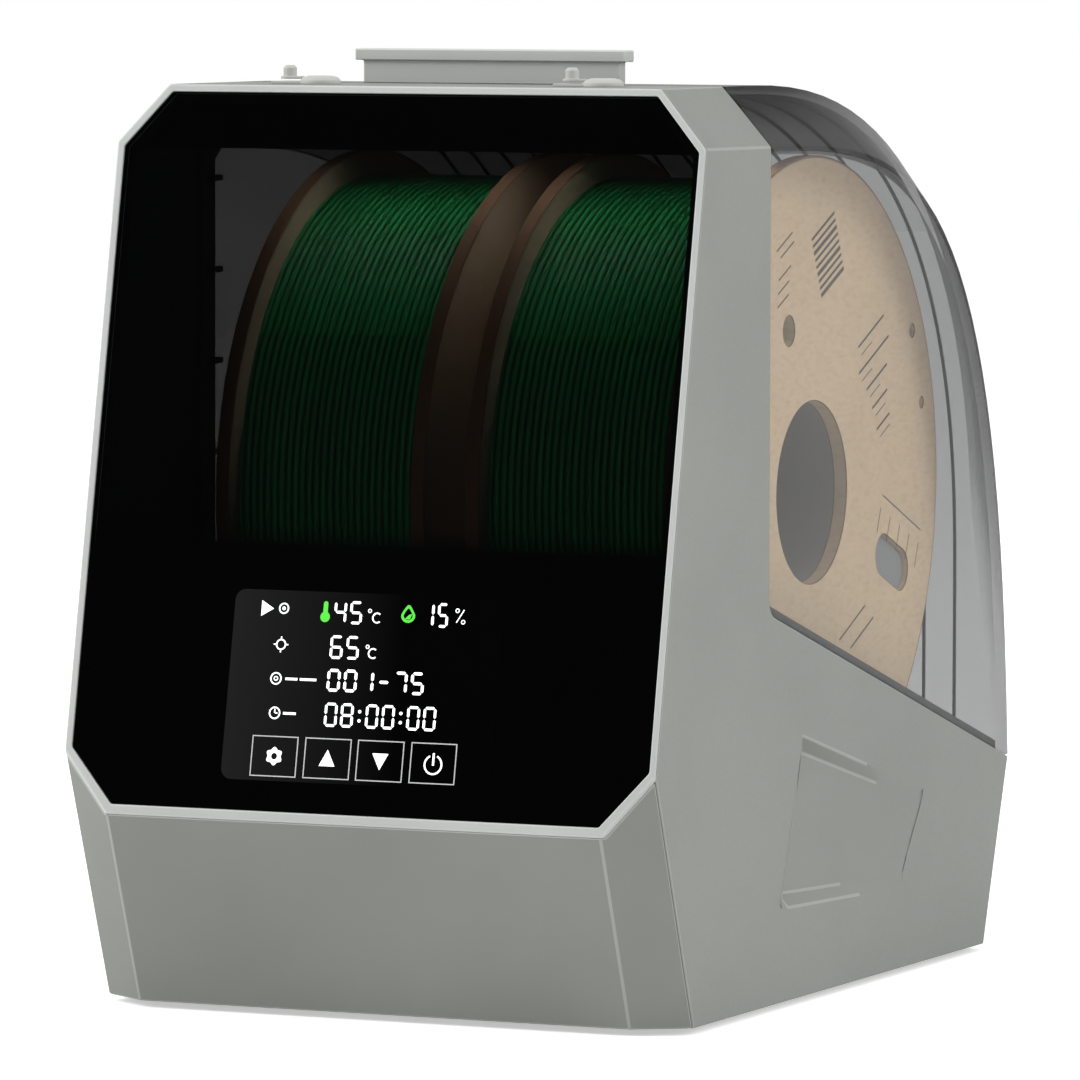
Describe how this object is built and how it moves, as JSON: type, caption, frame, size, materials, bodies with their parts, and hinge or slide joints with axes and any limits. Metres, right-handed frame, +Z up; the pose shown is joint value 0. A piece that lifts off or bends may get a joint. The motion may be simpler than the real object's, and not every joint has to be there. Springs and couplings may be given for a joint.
{
  "type": "filament dryer box",
  "caption": "Bench dryer box for filament spools: smoked front window with touch display, hinged see-through lid, support rollers, warm-air blower and filament outlets.",
  "frame": {"origin": "on the bench under the middle of the object, centre of the underside of its bounding box", "axes": "+X to the right seen from the front, +Y from the front window to the rear, +Z up"},
  "size_m": [0.186, 0.292, 0.2775],
  "materials": {
    "shell_grey": "fine textured warm grey",
    "chin_grey": "fine textured warm grey, a little darker",
    "bezel_light": "satin light grey trim",
    "window_glass": "smoked window, black printed below",
    "display_black": "black display",
    "board_green": "solder mask",
    "board_blue": "solder mask",
    "liner_black": "moulded black",
    "gasket_rubber": "soft black",
    "base_grey": "moulded dark grey",
    "foot_rubber": "soft black",
    "screw_steel": "zinc plated",
    "socket_black": "moulded black",
    "pin_brass": "plated",
    "smoke_plastic": "dark smoked clear plastic",
    "clear_plastic": "clear plastic, slightly milky",
    "handle_grey": "satin warm grey",
    "axle_steel": "ground",
    "outlet_silicone": "grey silicone",
    "roller_rubber": "soft tread",
    "bush_bronze": "sintered bronze",
    "blower_black": "moulded black",
    "motor_metal": "plated",
    "heater_aluminium": "bare fins",
    "part_yellow": "wound and moulded parts",
    "cable_grey": "flat cable",
    "spool_card": "pressed brown card",
    "filament_green": "dark green, wound in close turns"
  },
  "bodies": {
    "housing": {"main_housing": "shell_grey", "chin_cover": "chin_grey", "front_bezel": "bezel_light", "front_glass": "window_glass", "display_module": "display_black", "touch_board": "board_green", "control_board": "board_green", "inner_liner": "liner_black", "seal_frame": "liner_black", "lid_gasket": "gasket_rubber", "bulkhead": "liner_black", "sensor_board": "board_blue", "chamber_deck": "liner_black", "deck_grille": "liner_black", "base_plate": "base_grey", "rubber_feet": "foot_rubber", "base_screws": "screw_steel", "rear_panel": "base_grey", "inlet_socket": "socket_black", "inlet_pins": "pin_brass", "base_hinge_leaves": "liner_black", "hinge_pins": "axle_steel", "outlet_grommet_left": "outlet_silicone", "outlet_grommet_right": "outlet_silicone", "roller_cradle": "liner_black", "front_axle": "axle_steel", "rear_axle": "axle_steel", "blower_housing": "blower_black", "blower_cover": "blower_black", "blower_motor": "motor_metal", "heater_core": "heater_aluminium", "heater_duct": "base_grey", "supply_board": "board_green", "supply_parts": "part_yellow", "ribbon_cable": "cable_grey"},
    "lid": {"lid_strip": "smoke_plastic", "lid_side_left": "clear_plastic", "lid_side_right": "clear_plastic", "lid_handle": "handle_grey", "handle_screws": "screw_steel", "lid_hinge_leaves": "liner_black"},
    "plug_left": {"outlet_plug_left": "outlet_silicone"},
    "plug_right": {"outlet_plug_right": "outlet_silicone"},
    "roller_front_left": {"roller_front_left": "roller_rubber", "bushes_front_left": "bush_bronze"},
    "roller_front_right": {"roller_front_right": "roller_rubber", "bushes_front_right": "bush_bronze"},
    "roller_rear_left": {"roller_rear_left": "roller_rubber", "bushes_rear_left": "bush_bronze"},
    "roller_rear_right": {"roller_rear_right": "roller_rubber", "bushes_rear_right": "bush_bronze"},
    "blower_wheel": {"blower_wheel": "blower_black"},
    "spool_left": {"spool_flanges_left": "spool_card", "spool_core_left": "spool_card", "filament_left": "filament_green"},
    "spool_right": {"spool_flanges_right": "spool_card", "spool_core_right": "spool_card", "filament_right": "filament_green"}
  },
  "joints": [
    {"name": "lid_hinge", "type": "hinge", "parent": "housing", "child": "lid", "pos_m": [0, 0.1428, 0.05432], "axis": [-1, 0, 0], "range_deg": [0, 95]},
    {"name": "plug_left_hinge", "type": "hinge", "parent": "housing", "child": "plug_left", "pos_m": [-0.045, -0.0825, 0.2699], "axis": [0, 1, 0], "range_deg": [0, 180]},
    {"name": "plug_right_hinge", "type": "hinge", "parent": "housing", "child": "plug_right", "pos_m": [0.045, -0.0825, 0.2699], "axis": [0, 1, 0], "range_deg": [0, 180]},
    {"name": "spool_left_spin", "type": "hinge", "parent": "housing", "child": "spool_left", "pos_m": [-0.0403, 0.0168, 0.1459], "axis": [1, 0, 0], "continuous": true},
    {"name": "spool_right_spin", "type": "hinge", "parent": "housing", "child": "spool_right", "pos_m": [0.0403, 0.0168, 0.1459], "axis": [1, 0, 0], "continuous": true},
    {"name": "blower_spin", "type": "hinge", "parent": "housing", "child": "blower_wheel", "pos_m": [0, -0.066, 0.022], "axis": [0, 0, 1], "continuous": true},
    {"name": "roller_front_left_spin", "type": "hinge", "parent": "housing", "child": "roller_front_left", "pos_m": [-0.04025, -0.0427, 0.05421], "axis": [1, 0, 0], "continuous": true},
    {"name": "roller_rear_left_spin", "type": "hinge", "parent": "housing", "child": "roller_rear_left", "pos_m": [-0.04025, 0.0763, 0.05421], "axis": [1, 0, 0], "continuous": true},
    {"name": "roller_front_right_spin", "type": "hinge", "parent": "housing", "child": "roller_front_right", "pos_m": [0.04025, -0.0427, 0.05421], "axis": [1, 0, 0], "continuous": true},
    {"name": "roller_rear_right_spin", "type": "hinge", "parent": "housing", "child": "roller_rear_right", "pos_m": [0.04025, 0.0763, 0.05421], "axis": [1, 0, 0], "continuous": true}
  ],
  "couplings": [
    {"joint": "roller_front_left_spin", "follows": "spool_left_spin", "ratio": -11.111},
    {"joint": "roller_rear_left_spin", "follows": "spool_left_spin", "ratio": -11.111},
    {"joint": "roller_front_right_spin", "follows": "spool_right_spin", "ratio": -11.111},
    {"joint": "roller_rear_right_spin", "follows": "spool_right_spin", "ratio": -11.111}
  ]
}
